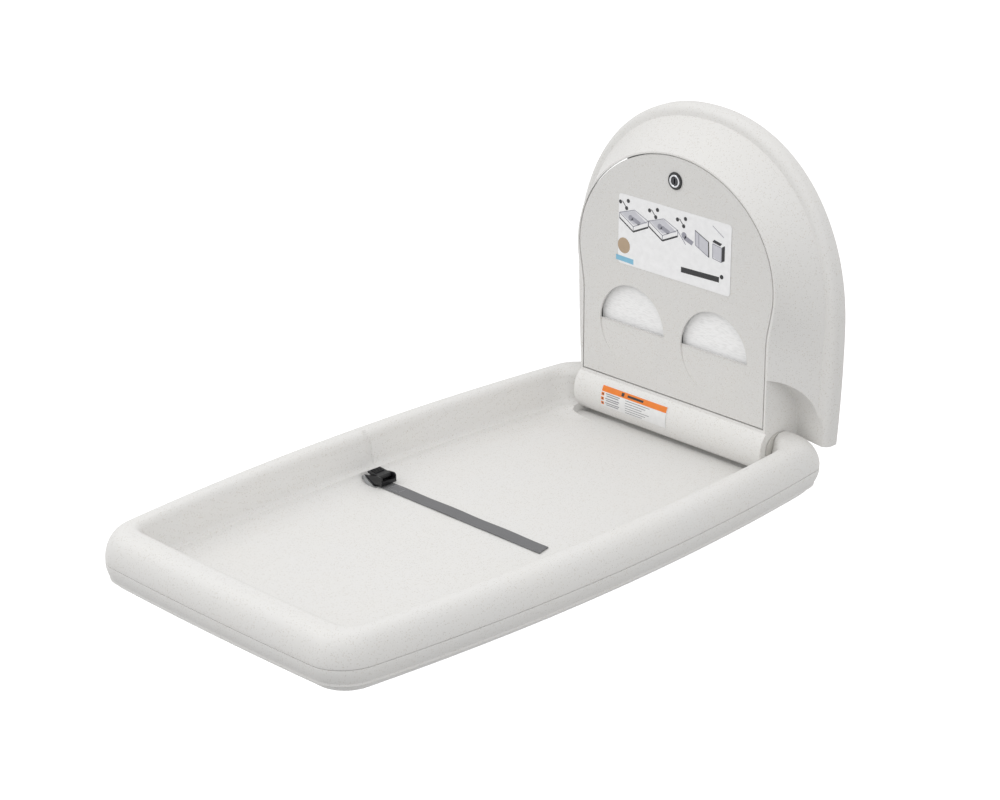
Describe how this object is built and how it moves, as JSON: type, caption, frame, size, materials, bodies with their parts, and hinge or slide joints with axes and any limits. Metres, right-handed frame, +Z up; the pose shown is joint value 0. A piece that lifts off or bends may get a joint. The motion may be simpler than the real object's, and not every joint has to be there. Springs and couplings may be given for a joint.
{
  "type": "baby changing table",
  "caption": "Wall-mounted baby changing table with a fold-down moulded bed, arched housing, locking liner cover and safety strap.",
  "frame": {"origin": "on the wall, on the centre line, at the height of the bed's hinge axis", "axes": "+X to the right seen from in front, -Y out from the wall, +Z up"},
  "size_m": [0.5346, 0.921, 0.5025],
  "materials": {
    "granite_polyethylene": "fine granite speckle, satin",
    "cover_polyethylene": "fine granite speckle, satin",
    "black_acetal": "moulded, satin",
    "grey_webbing": "flat woven nylon webbing",
    "zinc_plated_steel": "zinc plated",
    "chromed_steel": "polished chrome",
    "black_painted_steel": "black paint",
    "liner_paper": "white paper",
    "printed_label": "printed film",
    "orange_label": "printed film",
    "natural_acetal": "moulded, natural"
  },
  "bodies": {
    "wall_unit": {"wall_plate": "zinc_plated_steel", "housing_shell": "granite_polyethylene", "hinge_barrel_cover": "granite_polyethylene", "hinge_bracket_left": "zinc_plated_steel", "hinge_bracket_right": "zinc_plated_steel", "hinge_bush_left": "natural_acetal", "hinge_bush_right": "natural_acetal", "liner_bin": "natural_acetal", "liner_stack_left": "liner_paper", "liner_stack_right": "liner_paper", "lock_keeper": "zinc_plated_steel", "gas_spring_cylinder": "black_painted_steel", "gas_spring_bracket": "zinc_plated_steel", "warning_label": "orange_label"},
    "bed": {"bed_top_shell": "granite_polyethylene", "bed_bottom_shell": "granite_polyethylene", "hinge_rod": "zinc_plated_steel", "hinge_arm_left": "zinc_plated_steel", "hinge_arm_right": "zinc_plated_steel", "hinge_washer_left": "natural_acetal", "hinge_washer_right": "natural_acetal", "bed_cross_bar": "zinc_plated_steel", "spring_crank": "zinc_plated_steel", "shell_screw_1": "zinc_plated_steel", "shell_screw_2": "zinc_plated_steel", "shell_screw_3": "zinc_plated_steel", "shell_screw_4": "zinc_plated_steel", "buckle_anchor": "zinc_plated_steel", "anchor_screw": "zinc_plated_steel", "safety_strap": "grey_webbing"},
    "cover": {"dispenser_cover": "cover_polyethylene", "cover_pin_left": "zinc_plated_steel", "cover_pin_right": "zinc_plated_steel", "instruction_label": "printed_label", "lock_body": "chromed_steel", "lock_nut": "zinc_plated_steel"},
    "lock_core": {"lock_plug": "chromed_steel", "lock_cam": "zinc_plated_steel", "cam_screw": "zinc_plated_steel"},
    "buckle": {"buckle_frame": "black_acetal", "buckle_pin": "zinc_plated_steel", "lever_pin": "zinc_plated_steel"},
    "lever": {"buckle_lever": "black_acetal"},
    "spring_rod": {"gas_spring_rod": "chromed_steel"}
  },
  "joints": [
    {"name": "bed_fold", "type": "hinge", "parent": "wall_unit", "child": "bed", "pos_m": [0, -0.0555, 0], "axis": [-1, 0, 0], "range_deg": [0, 90]},
    {"name": "cover_door", "type": "hinge", "parent": "wall_unit", "child": "cover", "pos_m": [0, -0.077, 0.037], "axis": [-1, 0, 0], "range_deg": [-80, 0]},
    {"name": "lock_turn", "type": "hinge", "parent": "cover", "child": "lock_core", "pos_m": [0, -0.0798, 0.3492], "axis": [0, 1, 0], "range_deg": [0, 90]},
    {"name": "buckle_swing", "type": "hinge", "parent": "bed", "child": "buckle", "pos_m": [-0.201, -0.463, -0.0297], "axis": [0, -1, 0], "range_deg": [0, 60]},
    {"name": "buckle_lever", "type": "hinge", "parent": "buckle", "child": "lever", "pos_m": [-0.177, -0.463, -0.0252], "axis": [0, 1, 0], "range_deg": [0, 70]},
    {"name": "gas_rod_slide", "type": "slide", "parent": "wall_unit", "child": "spring_rod", "axis": [0, 0, -1], "range_m": [0, 0.03094]}
  ],
  "couplings": [
    {"joint": "gas_rod_slide", "follows": "bed_fold", "m_per_rad": 0.019635}
  ]
}
